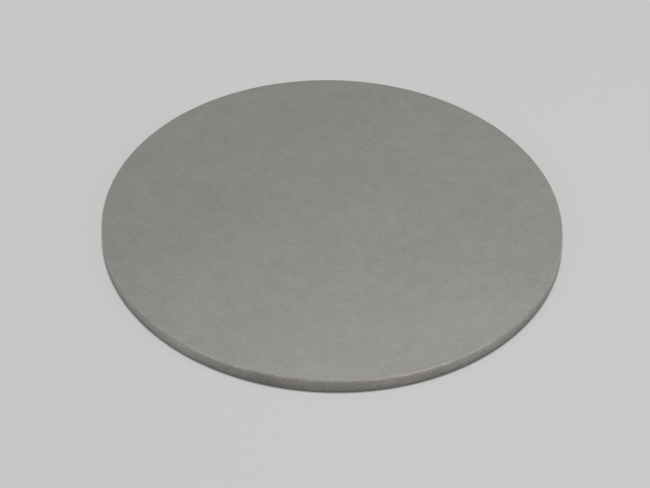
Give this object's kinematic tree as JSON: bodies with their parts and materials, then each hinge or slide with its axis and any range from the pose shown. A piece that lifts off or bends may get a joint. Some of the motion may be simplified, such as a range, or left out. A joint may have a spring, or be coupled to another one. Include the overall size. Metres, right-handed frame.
{
  "type": "sputtering target",
  "caption": "Flat round ceramic plate, ground on both faces with small rounded edges, that sits in a magnetron cathode and is eroded to coat wafers or glass.",
  "frame": {"origin": "centre of the back face, which lies on the cathode's cooling plate", "axes": "+Z is the plate's own axis and points out of the sputter face; -Y is the side that the picture looks from, with +X to its right"},
  "size_m": [0.1016, 0.1016, 0.0032],
  "materials": {
    "ground_ceramic": "matte"
  },
  "bodies": {
    "root": {"target_disc": "ground_ceramic"}
  },
  "joints": []
}
